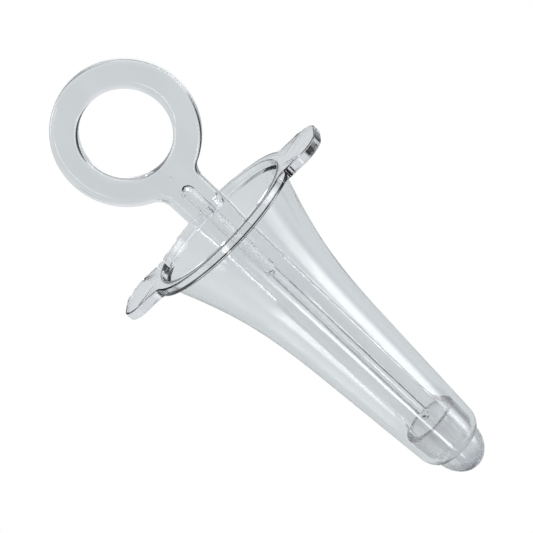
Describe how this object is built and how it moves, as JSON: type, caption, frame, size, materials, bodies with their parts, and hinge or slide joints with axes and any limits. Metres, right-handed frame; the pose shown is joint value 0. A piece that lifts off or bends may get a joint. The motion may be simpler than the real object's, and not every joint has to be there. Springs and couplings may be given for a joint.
{
  "type": "disposable anoscope with obturator",
  "caption": "Clear moulded viewing tube with a bell mouth and two finger ears, and a sliding obturator with a finger ring and a blunt nose.",
  "frame": {"origin": "centre of the tube's mouth, in the plane of the flange's front face", "axes": "+Z along the tube's axis from the nose to the finger ring, X along the ears and across the finger ring, Y through the finger ring's hole"},
  "size_m": [0.068, 0.0474, 0.15],
  "materials": {
    "clear_scope": "clear moulded polystyrene, polished",
    "clear_obturator": "clear moulded polystyrene, polished",
    "clear_nose": "clear moulded polystyrene, slightly hazy"
  },
  "bodies": {
    "scope": {"scope_body": "clear_scope"},
    "obturator": {"obturator_handle": "clear_obturator", "obturator_nose": "clear_nose"}
  },
  "joints": [
    {"name": "obturator_slide", "type": "slide", "parent": "scope", "child": "obturator", "axis": [0, 0, 1], "range_m": [0, 0.105]}
  ]
}
